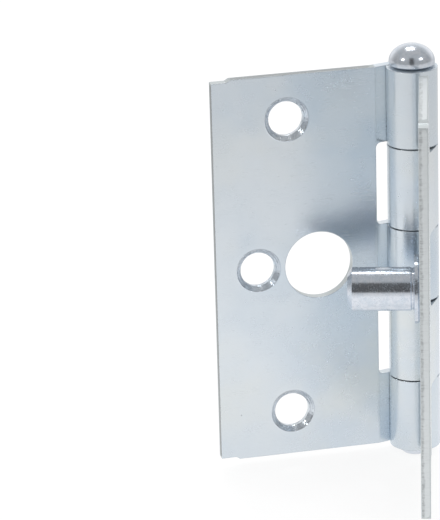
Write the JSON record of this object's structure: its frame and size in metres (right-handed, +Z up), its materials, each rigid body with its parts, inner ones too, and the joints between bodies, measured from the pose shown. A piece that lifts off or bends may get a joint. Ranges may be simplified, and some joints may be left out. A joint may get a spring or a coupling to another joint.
{
  "type": "butt hinge with locking stud",
  "caption": "Steel butt hinge with rolled knuckles, a loose domed pin, countersunk screw holes and a stud that locks into a hole in the facing leaf when the door is shut.",
  "frame": {"origin": "on the back face of the frame leaf, midway between its two outer screw holes", "axes": "+Z up the pin towards its head, +Y out of the frame leaf's back into the door frame, +X from the leaf towards the pin"},
  "size_m": [0.0431, 0.0425, 0.0821],
  "materials": {
    "leaf_steel": "bright zinc plating over cold-rolled steel, slightly mottled",
    "pin_steel": "bright zinc plating over a turned pin",
    "stud_steel": "bright zinc plating over a turned stud"
  },
  "bodies": {
    "frame_side": {"frame_leaf": "leaf_steel"},
    "door_side": {"door_leaf": "leaf_steel", "security_stud": "stud_steel"},
    "pin": {"hinge_pin": "pin_steel"}
  },
  "joints": [
    {"name": "leaf_swing", "type": "hinge", "parent": "frame_side", "child": "door_side", "pos_m": [0.024, -0.00315, 0], "axis": [0, 0, 1], "range_deg": [-73.5, 211.5]},
    {"name": "pin_lift", "type": "slide", "parent": "frame_side", "child": "pin", "axis": [0, 0, 1], "range_m": [0, 0.08]}
  ]
}
